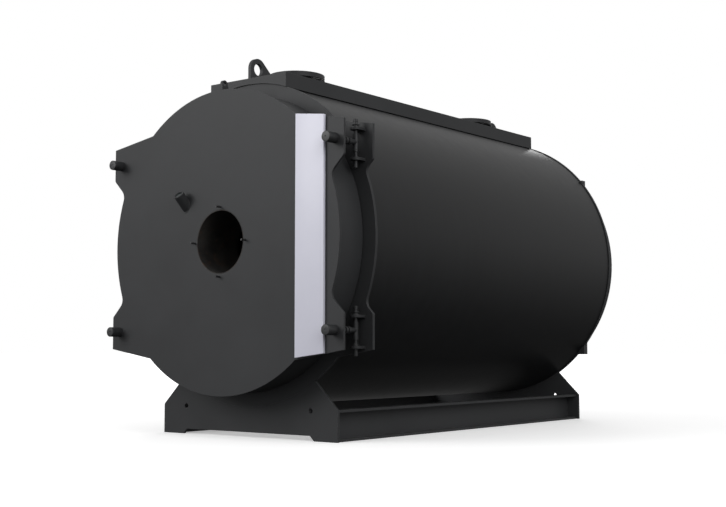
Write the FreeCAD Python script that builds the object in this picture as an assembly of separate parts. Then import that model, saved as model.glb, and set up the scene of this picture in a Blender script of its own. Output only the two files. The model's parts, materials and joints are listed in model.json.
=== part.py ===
import FreeCAD, Part
import math
import os

# An industrial shell boiler on two skid channels, with a round front door that swings on
# two vertical pins and is held shut by four eyebolts.
# Millimetres. +X is to the right of someone who faces the door, +Y runs to the rear, +Z is up.
# Pieces are drawn with Y measured from the door's front face, then moved so that the origin
# is on the floor under the middle of the overall box.

V = FreeCAD.Vector

# ---- body -------------------------------------------------------------------------------
BODY_LENGTH = 1925.0          # front face of the front flange to rear face of the rear flange
FLANGE_RADIUS = 652.0
FLANGE_THICKNESS = 12.0
UNDER_CLEARANCE = 120.5       # floor to the lowest point of the flanges' round
FLANGE_STEP = 4.0             # jacket inside the flanges' edge
JACKET_WALL = 3.0
JACKET_TUCK = 14.0            # the open jacket's edges inside the duct's sides
INSULATION = 70.0
SHELL_WALL = 10.0

# ---- eyebolts, pins and lugs --------------------------------------------------------------
BOLT_OUT = 28.5               # bolt's axis outside the flanges' round
BOLT_ANGLE = 31.05            # degrees above or below the level
PIN_TO_FLANGE = 33.0          # pin axis to the flange's front face
BOLT_RADIUS = 10.0
BOLT_HOLE_CLEARANCE = 1.0
CLAMP_NUT_RADIUS = 20.0
CLAMP_NUT_LENGTH = 54.0
CLAMP_NUT_THREAD_DEPTH = 38.0
LOCK_NUT_RADIUS = 14.0
LOCK_NUT_LENGTH = 11.0
LOCK_NUT_PLACES = (50.0, 67.0)    # from the pin's axis to each nut's front
EYE_TUBE_WALL = 3.2
EYE_TUBE_LENGTH = 58.0
PIN_RADIUS = 7.8
PIN_CLEARANCE = 0.1           # pin to the eyebolt's tube
PIN_TOP = 90.0                # above the bolt's axis
PIN_BOTTOM = -97.0
PIN_KNOB_STEP = 1.2           # knob, rings and collars outside the pin's own radius
PIN_KNOB_LENGTH = 12.0
PIN_RING_STEP = 6.4
PIN_RING_LENGTH = 4.0
PIN_COLLAR_STEP = 3.4
PIN_COLLAR_LENGTH = 7.0
PIN_END_GAP = 0.5             # axial play between what turns and what stands
LUG_THICKNESS = 10.0
LUG_STEP = 13.4               # lug's round nose outside the pin's own radius
UPPER_LUG_OFFSET = 52.0       # middle of the upper lug above the bolt's axis
LOWER_LUG_OFFSET = -63.0
SLOT_CLEARANCE = 1.5          # each side of a closing pin in its open lug

# ---- ears that carry the bolts, alike on the door and on the front flange -------------------
EAR_ABOVE_BOLT = 72.0         # to the ear's corner at its outer edge
EAR_BELOW_BOLT = 62.0
EAR_SLOPE = 9.4               # degrees, the fall of the ear's top edge
EAR_CHAMFER = 45.0            # degrees, the return from the ear's lower corner to the round
EAR_CORNER = 12.0             # rounding of the ear's lower corner
EAR_FILLET = 40.0             # rounding between the chamfer and the round
FLANGE_EAR_OUT = 55.0         # bolt's axis to the ear's outer edge
DOOR_EAR_OUT = 42.0

# ---- door -------------------------------------------------------------------------------
DOOR_STEP = 46.0              # door's round inside the flanges'
DOOR_PLATE = 10.0
DOOR_DEPTH = 156.0            # door's front face to the flange's front face
DOOR_GAP = 8.0                # door rim to flange
RIM_STEP = 9.0                # rim inside the door plate's edge
RIM_WALL = 8.0
GASKET_WIDTH = 24.0
GASKET_STAND_OUT = 2.0
LINING_TO_FLANGE = 16.0
LINING_LIP = 45.0
LINING_RECESS = 25.0
THROAT_BORE_RADIUS = 124.0
THROAT_WALL = 4.0
THROAT_REACH = 74.0           # past the flange's front face
STUD_CIRCLE_STEP = 14.0       # stud circle outside the throat's bore
STUD_RADIUS = 4.0
STUD_LENGTH = 24.0
STUD_COUNT = 4
PANEL_FROM_BOLT = 44.0        # panel's outer edge to the bolts' axis
PANEL_WIDTH = 138.0
PANEL_THICKNESS = 12.0
PANEL_TOP_OVERLAP = 7.0       # past the door's sloping top edge
PANEL_BOTTOM_MARGIN = 1.0     # short of the sloping bottom edge
SIGHT_X = -195.5
SIGHT_ABOVE_AXIS = 159.0
SIGHT_RADIUS = 22.0
SIGHT_BORE_RADIUS = 12.0
SIGHT_GLASS_RADIUS = 16.0
SIGHT_GLASS_THICKNESS = 4.0
SIGHT_GLASS_RECESS = 4.0
SIGHT_LENGTH = 55.5
SIGHT_TILT = 44.7             # degrees above the level
DOOR_EYE_LENGTH = 70.0
DOOR_EYE_RISE = 34.0          # hole's middle above the rim
DOOR_EYE_RADIUS = 15.0
DOOR_EYE_THICKNESS = 12.0
DOOR_EYE_HOLE_RADIUS = 8.0

# ---- inside -----------------------------------------------------------------------------
TUBE_PLATE_RECESS = 10.0
TUBE_PLATE_THICKNESS = 15.0
FURNACE_RADIUS = 240.0
FURNACE_WALL = 12.0
FURNACE_SHARE = 0.8           # furnace tube's length as a share of the body's
SMOKE_TUBE_RADIUS = 25.5
SMOKE_TUBE_WALL = 3.2
SMOKE_TUBE_STAND_OUT = 5.0
SMOKE_TUBE_RINGS = ((0.31, 20), (0.585, 26))    # place between furnace and shell, tubes
SMOKE_BOX_DEPTH = 150.0

# ---- feet -------------------------------------------------------------------------------
SADDLE_HALF_WIDTH = 471.0
SADDLE_SLANT_X = 360.0        # where the slanting edge reaches the flange's round
FOOT_INNER_X = 355.0
FOOT_NOTCH = 20.0
SADDLE_HOLE_X = 338.5
SADDLE_HOLE_Z = 115.0
SADDLE_HOLE_RADIUS = 10.0
CHANNEL_HEIGHT = 120.0
CHANNEL_FLANGE = 55.0
CHANNEL_WEB = 7.0
CHANNEL_FLANGE_THICKNESS = 9.0
CHANNEL_WEB_X = 404.0

# ---- top duct, nozzles and lifting eyes ---------------------------------------------------
DUCT_HALF_WIDTH = 208.0
DUCT_RISE = 25.5              # duct's top above the flanges' highest point
DUCT_WALL = 3.0
DUCT_OVERHANG = 5.0
CASING_CLEARANCE = 1.5        # duct's holes around nozzles and eyes
FLOW_FROM_FRONT = 301.0       # front flange's front face to the nozzle's axis
RETURN_FROM_REAR = 282.4      # rear flange's rear face to the nozzle's axis
NOZZLE_RISE = 62.0            # nozzle's face above the duct
NOZZLE_FLANGE_RADIUS = 120.0
NOZZLE_FLANGE_THICKNESS = 20.0
NOZZLE_BORE_RADIUS = 64.0
NOZZLE_WALL = 6.0
NOZZLE_BOLT_CIRCLE_RADIUS = 100.0
NOZZLE_BOLT_HOLE_RADIUS = 9.0
NOZZLE_BOLTS = 8
EYE_THICKNESS = 15.0
EYE_SET_BACK = 7.0            # flange face to the eye's upright edge
EYE_RADIUS = 45.0
EYE_HOLE_RADIUS = 25.0
EYE_RISE = 46.0               # hole's middle above the duct
EYE_BASE_LENGTH = 167.0

# ---- rear -------------------------------------------------------------------------------
COVER_STEP = 56.0             # cover's edge inside the flange's
COVER_THICKNESS = 10.0
COVER_RIM_DEPTH = 120.0       # the turned rim holds the plate off the flange
COVER_RIM_WALL = 10.0
UPPER_CLAMP = (39.85, 9.7, 44.0)      # outer corner's angle, its reach past the flange, height
LOWER_CLAMP = (41.6, 27.3, 71.0)
CLAMP_WIDTH = 52.0
CLAMP_REACH = 22.0            # how far the clamps stand behind the flange
FLUE_RADIUS = 125.0
FLUE_WALL = 4.0
FLUE_LENGTH = 120.0
FLUE_ABOVE_AXIS = 300.0

# ---- derived places -----------------------------------------------------------------------
AXIS_HEIGHT = FLANGE_RADIUS + UNDER_CLEARANCE
JACKET_RADIUS = FLANGE_RADIUS - FLANGE_STEP
SHELL_RADIUS = JACKET_RADIUS - JACKET_WALL - INSULATION
TUBE_PLATE_RADIUS = SHELL_RADIUS - SHELL_WALL
FLANGE_FACE = DOOR_DEPTH
FLANGE_BACK = FLANGE_FACE + FLANGE_THICKNESS
BODY_BACK = FLANGE_FACE + BODY_LENGTH
REAR_FLANGE_FACE = BODY_BACK - FLANGE_THICKNESS
TUBE_PLATE_FACE = FLANGE_FACE + TUBE_PLATE_RECESS
REAR_TUBE_PLATE_BACK = REAR_FLANGE_FACE - SMOKE_BOX_DEPTH
FURNACE_BACK = TUBE_PLATE_FACE + BODY_LENGTH * FURNACE_SHARE
COVER_RADIUS = FLANGE_RADIUS - COVER_STEP
COVER_BACK = BODY_BACK + COVER_RIM_DEPTH + COVER_THICKNESS

BOLT_X = (FLANGE_RADIUS + BOLT_OUT) * math.cos(math.radians(BOLT_ANGLE))
BOLT_ABOVE_AXIS = (FLANGE_RADIUS + BOLT_OUT) * math.sin(math.radians(BOLT_ANGLE))
PIN_DEPTH = FLANGE_FACE - PIN_TO_FLANGE
EYE_BORE_RADIUS = PIN_RADIUS + PIN_CLEARANCE
EAR_TOP = BOLT_ABOVE_AXIS + EAR_ABOVE_BOLT
EAR_LOW = BOLT_ABOVE_AXIS - EAR_BELOW_BOLT
FLANGE_EAR_HALF_WIDTH = BOLT_X + FLANGE_EAR_OUT
DOOR_EAR_HALF_WIDTH = BOLT_X + DOOR_EAR_OUT

DOOR_RADIUS = FLANGE_RADIUS - DOOR_STEP
RIM_RADIUS = DOOR_RADIUS - RIM_STEP
RIM_BACK = FLANGE_FACE - DOOR_GAP
LINING_RADIUS = RIM_RADIUS - RIM_WALL - GASKET_WIDTH
LINING_BACK = FLANGE_FACE - LINING_TO_FLANGE
THROAT_RADIUS = THROAT_BORE_RADIUS + THROAT_WALL
THROAT_BACK = FLANGE_FACE + THROAT_REACH

DUCT_TOP = AXIS_HEIGHT + FLANGE_RADIUS + DUCT_RISE
NOZZLE_TOP = DUCT_TOP + NOZZLE_RISE
NOZZLE_NECK_RADIUS = NOZZLE_BORE_RADIUS + NOZZLE_WALL
FLOW_Y = FLANGE_FACE + FLOW_FROM_FRONT
RETURN_Y = BODY_BACK - RETURN_FROM_REAR
EYE_HOLE_Z = DUCT_TOP + EYE_RISE

SIGHT_REACH = (SIGHT_LENGTH * math.cos(math.radians(SIGHT_TILT))
               + SIGHT_RADIUS * math.sin(math.radians(SIGHT_TILT)))
FRONT_REACH = max(CLAMP_NUT_LENGTH, SIGHT_REACH)
REAR_REACH = COVER_BACK + FLUE_LENGTH
TO_ORIGIN = V(0, (FRONT_REACH - REAR_REACH) / 2, 0)

RIGHT = 1
LEFT = -1
UPPER = 1
LOWER = -1


def cylinder_y(radius, start, end, x=0.0, z=AXIS_HEIGHT):
    """A cylinder whose axis runs to the rear."""
    return Part.makeCylinder(radius, end - start, V(x, start, z), V(0, 1, 0))


def tube_y(radius, wall, start, end, x=0.0, z=AXIS_HEIGHT):
    return cylinder_y(radius, start, end, x, z).cut(cylinder_y(radius - wall, start, end, x, z))


def cylinder_z(radius, bottom, top, x, y):
    return Part.makeCylinder(radius, top - bottom, V(x, y, bottom))


def block(x0, x1, y0, y1, z0, z1):
    return Part.makeBox(x1 - x0, y1 - y0, z1 - z0, V(x0, y0, z0))


def plate_xz(points, start, thickness):
    """A plate whose outline is in X and Z, and whose thickness runs to the rear."""
    corners = [V(x, start, z) for x, z in points]
    face = Part.Face(Part.makePolygon(corners + corners[:1]))
    return face.extrude(V(0, thickness, 0))


def plate_yz(points, thickness):
    """An upright plate over the boiler's middle plane, with its outline in Y and Z."""
    corners = [V(-thickness / 2, y, z) for y, z in points]
    face = Part.Face(Part.makePolygon(corners + corners[:1]))
    return face.extrude(V(thickness, 0, 0))


def mirrored(points):
    """Half an outline on the right, completed on the left."""
    return points + [(-x, z) for x, z in reversed(points)]


def joined(pieces):
    return pieces[0].fuse(pieces[1:]).removeSplitter()


def ear_edge_height(half_width, x):
    """Height above the axis of the ear's sloping top edge."""
    return EAR_TOP + (half_width - x) * math.tan(math.radians(EAR_SLOPE))


def beside_chamfer(radius, half_width, gap):
    """Where a line that runs a gap under the ear's chamfer meets a circle round the axis."""
    slope = math.tan(math.radians(EAR_CHAMFER))
    offset = EAR_LOW - half_width * slope - gap * math.hypot(1, slope)
    square = 1 + slope ** 2
    root = math.sqrt((slope * offset) ** 2 - square * (offset ** 2 - radius ** 2))
    x = (root - slope * offset) / square
    return x, slope * x + offset


def ear_web(radius, half_width, start, thickness, side, level):
    """The metal between the ear's chamfer, the round and the fillet that joins them."""
    tilt = math.radians(EAR_CHAMFER)
    x, z = beside_chamfer(radius + EAR_FILLET, half_width, EAR_FILLET)
    inward = radius / (radius + EAR_FILLET)
    outline = [beside_chamfer(radius, half_width, 0.0),
               (x - EAR_FILLET * math.sin(tilt), z + EAR_FILLET * math.cos(tilt)),
               (x, z), (x * inward, z * inward)]
    web = plate_xz([(side * px, AXIS_HEIGHT + level * pz) for px, pz in outline], start, thickness)
    return web.cut(cylinder_y(EAR_FILLET, start, start + thickness, side * x, AXIS_HEIGHT + level * z))


def edges_at(shape, x, z):
    """Edges that run to the rear at a place given from the axis, in all four quarters."""
    found = []
    for edge in shape.Edges:
        ends = [vertex.Point for vertex in edge.Vertexes]
        if all(math.hypot(abs(p.x) - x, abs(p.z - AXIS_HEIGHT) - z) < 0.01 for p in ends):
            found.append(edge)
    return found


def eared_disc(radius, half_width, start, thickness):
    """A round plate with an ear for each of the four bolts."""
    slope = math.tan(math.radians(EAR_CHAMFER))
    root = max(radius / 2, half_width - EAR_LOW / slope)
    ear = [
        (root, ear_edge_height(half_width, root)),
        (half_width, EAR_TOP),
        (half_width, EAR_LOW),
        (root, EAR_LOW - (half_width - root) * slope),
    ]
    plates = [cylinder_y(radius, start, start + thickness)]
    for side in (RIGHT, LEFT):
        for level in (UPPER, LOWER):
            outline = [(side * x, AXIS_HEIGHT + level * z) for x, z in ear]
            plates.append(plate_xz(outline, start, thickness))
            plates.append(ear_web(radius, half_width, start, thickness, side, level))
    disc = joined(plates)
    return disc.makeFillet(EAR_CORNER, edges_at(disc, half_width, EAR_LOW))


# ---- front flange, rear flange and feet ---------------------------------------------------
def front_flange():
    disc = eared_disc(FLANGE_RADIUS, FLANGE_EAR_HALF_WIDTH, FLANGE_FACE, FLANGE_THICKNESS)
    return disc.cut(cylinder_y(SHELL_RADIUS, FLANGE_FACE, FLANGE_BACK))


def rear_flange():
    return tube_y(FLANGE_RADIUS, FLANGE_RADIUS - SHELL_RADIUS, REAR_FLANGE_FACE, BODY_BACK)


def saddle(start):
    """A foot plate that continues the flange down to the floor on two feet."""
    slant_z = AXIS_HEIGHT - math.sqrt(FLANGE_RADIUS ** 2 - SADDLE_SLANT_X ** 2)
    half = [
        (FOOT_INNER_X - FOOT_NOTCH, FOOT_NOTCH),
        (FOOT_INNER_X, 0.0),
        (SADDLE_HALF_WIDTH, 0.0),
        (SADDLE_HALF_WIDTH, CHANNEL_HEIGHT),
        (SADDLE_SLANT_X, slant_z),
    ]
    plate = plate_xz(mirrored(half), start, FLANGE_THICKNESS)
    plate = plate.cut(cylinder_y(FLANGE_RADIUS, start, start + FLANGE_THICKNESS))
    for side in (RIGHT, LEFT):
        hole = cylinder_y(SADDLE_HOLE_RADIUS, start, start + FLANGE_THICKNESS,
                          side * SADDLE_HOLE_X, SADDLE_HOLE_Z)
        plate = plate.cut(hole)
    return plate


def skid_channel(side):
    """A rolled channel with its web inside and its flanges pointing out."""
    inner = CHANNEL_WEB_X
    tip = inner + CHANNEL_FLANGE
    face = inner + CHANNEL_WEB
    low = CHANNEL_FLANGE_THICKNESS
    high = CHANNEL_HEIGHT - CHANNEL_FLANGE_THICKNESS
    outline = [
        (inner, 0.0), (tip, 0.0), (tip, low), (face, low),
        (face, high), (tip, high), (tip, CHANNEL_HEIGHT), (inner, CHANNEL_HEIGHT),
    ]
    outline = [(side * x, z) for x, z in outline]
    return plate_xz(outline, FLANGE_BACK, REAR_FLANGE_FACE - FLANGE_BACK)


# ---- shell and inside -----------------------------------------------------------------------
def nozzle_bore(radius, y):
    """An upright cylinder from the boiler's axis to the nozzle's face."""
    return cylinder_z(radius, AXIS_HEIGHT, NOZZLE_TOP, 0.0, y)


def duct_holes():
    """What the duct leaves free for the nozzle necks and the lifting eyes."""
    gap = CASING_CLEARANCE
    eye_half = EYE_THICKNESS / 2 + gap
    holes = [nozzle_bore(NOZZLE_NECK_RADIUS + gap, y) for y in (FLOW_Y, RETURN_Y)]
    for near, far in (eye_span(FLANGE_FACE, 1), eye_span(BODY_BACK, -1)):
        low = min(near, far) - gap
        high = max(near, far) + gap
        holes.append(block(-eye_half, eye_half, low, high, AXIS_HEIGHT, EYE_HOLE_Z))
    return holes


def jacket_panel(side, level):
    """A quarter of the round jacket, from flange to flange, left open under the duct."""
    tube = tube_y(JACKET_RADIUS, JACKET_WALL, FLANGE_BACK, REAR_FLANGE_FACE)
    inner = DUCT_HALF_WIDTH - JACKET_TUCK if level == UPPER else 0.0
    x0, x1 = sorted((side * inner, side * JACKET_RADIUS))
    z0, z1 = sorted((AXIS_HEIGHT, AXIS_HEIGHT + level * JACKET_RADIUS))
    return tube.common(block(x0, x1, FLANGE_BACK, REAR_FLANGE_FACE, z0, z1))


def pressure_shell():
    tube = tube_y(SHELL_RADIUS, SHELL_WALL, FLANGE_FACE, BODY_BACK)
    return tube.cut([nozzle_bore(NOZZLE_BORE_RADIUS, y) for y in (FLOW_Y, RETURN_Y)])


def smoke_tube_centres():
    for place, count in SMOKE_TUBE_RINGS:
        pitch_radius = FURNACE_RADIUS + place * (TUBE_PLATE_RADIUS - FURNACE_RADIUS)
        for i in range(count):
            angle = 2 * math.pi * (i + 0.5) / count
            yield pitch_radius * math.sin(angle), AXIS_HEIGHT + pitch_radius * math.cos(angle)


def tube_plate(start, furnace_hole):
    end = start + TUBE_PLATE_THICKNESS
    plate = cylinder_y(TUBE_PLATE_RADIUS, start, end)
    holes = [cylinder_y(SMOKE_TUBE_RADIUS, start, end, x, z) for x, z in smoke_tube_centres()]
    if furnace_hole:
        holes.append(cylinder_y(FURNACE_RADIUS, start, end))
    return plate.cut(holes)


def smoke_tubes():
    start = TUBE_PLATE_FACE - SMOKE_TUBE_STAND_OUT
    end = REAR_TUBE_PLATE_BACK + SMOKE_TUBE_STAND_OUT
    tubes = [tube_y(SMOKE_TUBE_RADIUS, SMOKE_TUBE_WALL, start, end, x, z)
             for x, z in smoke_tube_centres()]
    return Part.makeCompound(tubes)


def furnace_tube():
    return tube_y(FURNACE_RADIUS, FURNACE_WALL, TUBE_PLATE_FACE, FURNACE_BACK)


def furnace_end():
    return cylinder_y(FURNACE_RADIUS, FURNACE_BACK, FURNACE_BACK + FURNACE_WALL)


# ---- rear -------------------------------------------------------------------------------
def smoke_box_cover():
    """A plate with a turned rim that sits on the rear flange."""
    disc = cylinder_y(COVER_RADIUS, BODY_BACK, COVER_BACK)
    inside = BODY_BACK + COVER_RIM_DEPTH
    disc = disc.cut(cylinder_y(COVER_RADIUS - COVER_RIM_WALL, BODY_BACK, inside))
    z = AXIS_HEIGHT + FLUE_ABOVE_AXIS
    return disc.cut(cylinder_y(FLUE_RADIUS - FLUE_WALL, BODY_BACK, COVER_BACK, 0.0, z))


def flue_outlet():
    z = AXIS_HEIGHT + FLUE_ABOVE_AXIS
    return tube_y(FLUE_RADIUS, FLUE_WALL, COVER_BACK, COVER_BACK + FLUE_LENGTH, 0.0, z)


def cover_clamps():
    """Four blocks that reach over the rear flange's edge and bear on the cover's rim."""
    clamps = []
    for level, (angle, reach, height) in ((UPPER, UPPER_CLAMP), (LOWER, LOWER_CLAMP)):
        corner = FLANGE_RADIUS + reach
        outer = corner * math.cos(math.radians(angle))
        top = corner * math.sin(math.radians(angle))
        z0, z1 = sorted((AXIS_HEIGHT + level * (top - height), AXIS_HEIGHT + level * top))
        for side in (RIGHT, LEFT):
            x0, x1 = sorted((side * (outer - CLAMP_WIDTH), side * outer))
            clamp = block(x0, x1, REAR_FLANGE_FACE, BODY_BACK + CLAMP_REACH, z0, z1)
            clamps.append(clamp.cut([cylinder_y(FLANGE_RADIUS, REAR_FLANGE_FACE, BODY_BACK),
                                     cylinder_y(COVER_RADIUS, BODY_BACK, COVER_BACK)]))
    return Part.makeCompound(clamps)


# ---- top duct, nozzles and lifting eyes ---------------------------------------------------
def top_duct():
    """A long sheet cover that rests on the two flanges and hides the top pipework."""
    start = FLANGE_FACE - DUCT_OVERHANG
    end = BODY_BACK + DUCT_OVERHANG
    wall = DUCT_WALL
    half = DUCT_HALF_WIDTH
    outside = block(-half, half, start, end, AXIS_HEIGHT, DUCT_TOP)
    inside = block(-half + wall, half - wall, start + wall, end - wall, AXIS_HEIGHT, DUCT_TOP - wall)
    below = cylinder_y(FLANGE_RADIUS, start, end)
    return outside.cut([inside, below] + duct_holes())


def nozzle(y):
    """A flanged pipe end on the pressure shell."""
    under = NOZZLE_TOP - NOZZLE_FLANGE_THICKNESS
    neck = cylinder_z(NOZZLE_NECK_RADIUS, AXIS_HEIGHT, under, 0.0, y)
    flange = cylinder_z(NOZZLE_FLANGE_RADIUS, under, NOZZLE_TOP, 0.0, y)
    cuts = [cylinder_y(SHELL_RADIUS, y - NOZZLE_NECK_RADIUS, y + NOZZLE_NECK_RADIUS),
            nozzle_bore(NOZZLE_BORE_RADIUS, y)]
    for i in range(NOZZLE_BOLTS):
        angle = 2 * math.pi * (i + 0.5) / NOZZLE_BOLTS
        x = NOZZLE_BOLT_CIRCLE_RADIUS * math.sin(angle)
        hole_y = y + NOZZLE_BOLT_CIRCLE_RADIUS * math.cos(angle)
        cuts.append(cylinder_z(NOZZLE_BOLT_HOLE_RADIUS, under, NOZZLE_TOP, x, hole_y))
    return joined([neck, flange]).cut(cuts)


def eye_span(face, inward):
    """Y of a lifting eye's upright edge and of the foot of its slope."""
    near = face + inward * EYE_SET_BACK
    return near, near + inward * EYE_BASE_LENGTH


def lifting_eye(face, inward):
    """An upright plate with a round head; its slope faces the boiler's middle."""
    near, far = eye_span(face, inward)
    centre_y = near + inward * EYE_RADIUS
    reach = abs(far - centre_y)
    fall = EYE_HOLE_Z - DUCT_TOP
    distance = math.hypot(reach, fall)
    tangent = math.acos(EYE_RADIUS / distance) - math.atan2(fall, reach)
    touch_y = centre_y + inward * EYE_RADIUS * math.cos(tangent)
    touch_z = EYE_HOLE_Z + EYE_RADIUS * math.sin(tangent)
    outline = [(near, AXIS_HEIGHT), (near, EYE_HOLE_Z), (centre_y, EYE_HOLE_Z),
               (touch_y, touch_z), (far, DUCT_TOP), (far, AXIS_HEIGHT)]
    half = EYE_THICKNESS / 2
    head = Part.makeCylinder(EYE_RADIUS, EYE_THICKNESS, V(-half, centre_y, EYE_HOLE_Z), V(1, 0, 0))
    hole = Part.makeCylinder(EYE_HOLE_RADIUS, EYE_THICKNESS, V(-half, centre_y, EYE_HOLE_Z), V(1, 0, 0))
    plate = joined([plate_yz(outline, EYE_THICKNESS), head])
    flange_end = face + inward * FLANGE_THICKNESS
    flange = cylinder_y(FLANGE_RADIUS, min(face, flange_end), max(face, flange_end))
    return plate.cut([hole, flange, cylinder_y(SHELL_RADIUS, 0.0, BODY_BACK)])


# ---- door -------------------------------------------------------------------------------
def sight_axis():
    tilt = math.radians(SIGHT_TILT)
    return V(0, -math.cos(tilt), math.sin(tilt))


def sight_cylinder(radius, near, far):
    """A cylinder on the sight tube's axis, between two distances from the door's face."""
    root = V(SIGHT_X, 0.0, AXIS_HEIGHT + SIGHT_ABOVE_AXIS)
    return Part.makeCylinder(radius, far - near, root + sight_axis() * near, sight_axis())


def door_plate():
    plate = eared_disc(DOOR_RADIUS, DOOR_EAR_HALF_WIDTH, 0.0, DOOR_PLATE)
    holes = [cylinder_y(THROAT_RADIUS, 0.0, DOOR_PLATE),
             sight_cylinder(SIGHT_BORE_RADIUS, -DOOR_PLATE * 2, SIGHT_LENGTH)]
    for side in (RIGHT, LEFT):
        for level in (UPPER, LOWER):
            holes.append(cylinder_y(BOLT_RADIUS + BOLT_HOLE_CLEARANCE, 0.0, DOOR_PLATE,
                                    side * BOLT_X, AXIS_HEIGHT + level * BOLT_ABOVE_AXIS))
    return plate.cut(holes)


def door_rim():
    return tube_y(RIM_RADIUS, RIM_WALL, DOOR_PLATE, RIM_BACK)


def door_lining():
    """Refractory slab with a shallow recess, bored through for the throat and the sight tube."""
    slab = cylinder_y(LINING_RADIUS, DOOR_PLATE, LINING_BACK)
    recess_face = LINING_BACK - LINING_RECESS
    return slab.cut([cylinder_y(THROAT_RADIUS, DOOR_PLATE, LINING_BACK),
                     cylinder_y(LINING_RADIUS - LINING_LIP, recess_face, LINING_BACK),
                     sight_cylinder(SIGHT_BORE_RADIUS, -LINING_BACK * 2, 0.0)])


def burner_throat():
    """The tube that leads the burner's flame through the door into the furnace."""
    return tube_y(THROAT_RADIUS, THROAT_WALL, 0.0, THROAT_BACK)


def door_gasket():
    end = RIM_BACK + GASKET_STAND_OUT
    return tube_y(LINING_RADIUS + GASKET_WIDTH, GASKET_WIDTH, end - GASKET_WIDTH, end)


def door_panel():
    """A bare plate on the door's face, with its ends along the door's sloping edges."""
    outer = BOLT_X - PANEL_FROM_BOLT
    inner = outer - PANEL_WIDTH
    inner_edge = min(ear_edge_height(DOOR_EAR_HALF_WIDTH, inner),
                     math.sqrt(DOOR_RADIUS ** 2 - inner ** 2))
    outer_edge = ear_edge_height(DOOR_EAR_HALF_WIDTH, outer)
    outline = [(inner, AXIS_HEIGHT - inner_edge + PANEL_BOTTOM_MARGIN),
               (outer, AXIS_HEIGHT - outer_edge + PANEL_BOTTOM_MARGIN),
               (outer, AXIS_HEIGHT + outer_edge + PANEL_TOP_OVERLAP),
               (inner, AXIS_HEIGHT + inner_edge + PANEL_TOP_OVERLAP)]
    return plate_xz(outline, -PANEL_THICKNESS, PANEL_THICKNESS)


def door_lifting_eye():
    """A small upright plate on top of the door, round at the front and hollow to the rear."""
    centre_z = AXIS_HEIGHT + RIM_RADIUS + DOOR_EYE_RISE
    outline = [(0.0, AXIS_HEIGHT), (0.0, centre_z), (DOOR_EYE_LENGTH, centre_z),
               (DOOR_EYE_LENGTH, AXIS_HEIGHT)]
    half = DOOR_EYE_THICKNESS / 2
    scoop_radius = DOOR_EYE_LENGTH - DOOR_EYE_RADIUS * 2
    scoop_z = AXIS_HEIGHT + RIM_RADIUS + scoop_radius
    centre = V(-half, DOOR_EYE_RADIUS, centre_z)
    across = V(1, 0, 0)
    head = Part.makeCylinder(DOOR_EYE_RADIUS, DOOR_EYE_THICKNESS, centre, across)
    hole = Part.makeCylinder(DOOR_EYE_HOLE_RADIUS, DOOR_EYE_THICKNESS, centre, across)
    scoop = Part.makeCylinder(scoop_radius, DOOR_EYE_THICKNESS,
                              V(-half, DOOR_EYE_LENGTH, scoop_z), across)
    plate = plate_yz(outline, DOOR_EYE_THICKNESS).cut(scoop)
    return joined([plate, head]).cut([hole, cylinder_y(DOOR_RADIUS, 0.0, DOOR_PLATE),
                                      cylinder_y(RIM_RADIUS, DOOR_PLATE, FLANGE_FACE)])


def sight_tube():
    tube = sight_cylinder(SIGHT_RADIUS, -SIGHT_RADIUS * 2, SIGHT_LENGTH)
    seat = SIGHT_LENGTH - SIGHT_GLASS_RECESS - SIGHT_GLASS_THICKNESS
    door_side = block(SIGHT_X - SIGHT_RADIUS * 2, SIGHT_X + SIGHT_RADIUS * 2, 0.0, FLANGE_FACE,
                      AXIS_HEIGHT - FLANGE_RADIUS, AXIS_HEIGHT + FLANGE_RADIUS)
    return tube.cut([sight_cylinder(SIGHT_BORE_RADIUS, -SIGHT_RADIUS * 2, SIGHT_LENGTH),
                     sight_cylinder(SIGHT_GLASS_RADIUS, seat, SIGHT_LENGTH), door_side])


def sight_glass():
    seat = SIGHT_LENGTH - SIGHT_GLASS_RECESS - SIGHT_GLASS_THICKNESS
    return sight_cylinder(SIGHT_GLASS_RADIUS, seat, seat + SIGHT_GLASS_THICKNESS)


def burner_studs():
    circle = THROAT_BORE_RADIUS + STUD_CIRCLE_STEP
    studs = []
    for i in range(STUD_COUNT):
        angle = 2 * math.pi * i / STUD_COUNT
        x = circle * math.sin(angle)
        z = AXIS_HEIGHT + circle * math.cos(angle)
        studs.append(cylinder_y(STUD_RADIUS, -STUD_LENGTH, 0.0, x, z))
    return Part.makeCompound(studs)


# ---- eyebolts, pins and lugs --------------------------------------------------------------
def bolt_place(side, level):
    return side * BOLT_X, AXIS_HEIGHT + level * BOLT_ABOVE_AXIS


def eyebolt(side, level):
    """A bolt through the door's ear, with a short upright tube for the pin at its rear end."""
    x, z = bolt_place(side, level)
    half = EYE_TUBE_LENGTH / 2
    tube = cylinder_z(EYE_BORE_RADIUS + EYE_TUBE_WALL, z - half, z + half, x, PIN_DEPTH)
    shank = cylinder_y(BOLT_RADIUS, -CLAMP_NUT_THREAD_DEPTH, PIN_DEPTH, x, z)
    bore = cylinder_z(EYE_BORE_RADIUS, z - half, z + half, x, PIN_DEPTH)
    return joined([tube, shank]).cut(bore)


def clamp_nut(side, level):
    x, z = bolt_place(side, level)
    nut = cylinder_y(CLAMP_NUT_RADIUS, -CLAMP_NUT_LENGTH, 0.0, x, z)
    return nut.cut(cylinder_y(BOLT_RADIUS, -CLAMP_NUT_THREAD_DEPTH, 0.0, x, z))


def lock_nuts():
    nuts = []
    for side in (RIGHT, LEFT):
        for level in (UPPER, LOWER):
            x, z = bolt_place(side, level)
            for place in LOCK_NUT_PLACES:
                start = PIN_DEPTH - place
                nuts.append(tube_y(LOCK_NUT_RADIUS, LOCK_NUT_RADIUS - BOLT_RADIUS,
                                   start, start + LOCK_NUT_LENGTH, x, z))
    return Part.makeCompound(nuts)


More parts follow.
